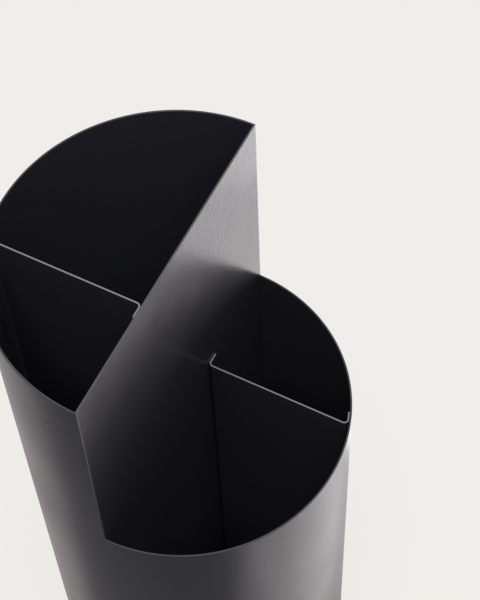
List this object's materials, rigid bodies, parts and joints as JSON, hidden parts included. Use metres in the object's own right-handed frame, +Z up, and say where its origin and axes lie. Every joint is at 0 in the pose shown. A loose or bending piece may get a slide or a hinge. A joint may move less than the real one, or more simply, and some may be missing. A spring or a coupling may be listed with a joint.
{
  "type": "umbrella stand",
  "caption": "Cylindrical sheet-steel umbrella stand with a stepped rim: a full-height divider plate splits it into a tall and a low half, each with its own bent partition.",
  "frame": {"origin": "on the floor, below the middle of the round base", "axes": "+Z up along the cylinder's axis; the divider plate lies along X; the tall half is on +Y and the low half on -Y"},
  "size_m": [0.22, 0.22, 0.55],
  "materials": {
    "powder_coat": "matt black powder coat with a fine texture, slightly satin at grazing angles",
    "foot_rubber": "matt black moulded rubber"
  },
  "bodies": {
    "root": {"outer_wall": "powder_coat", "divider_plate": "powder_coat", "low_partition": "powder_coat", "tall_partition": "powder_coat", "base_pan": "powder_coat", "foot_pad_1": "foot_rubber", "foot_pad_2": "foot_rubber", "foot_pad_3": "foot_rubber", "foot_pad_4": "foot_rubber"}
  },
  "joints": []
}
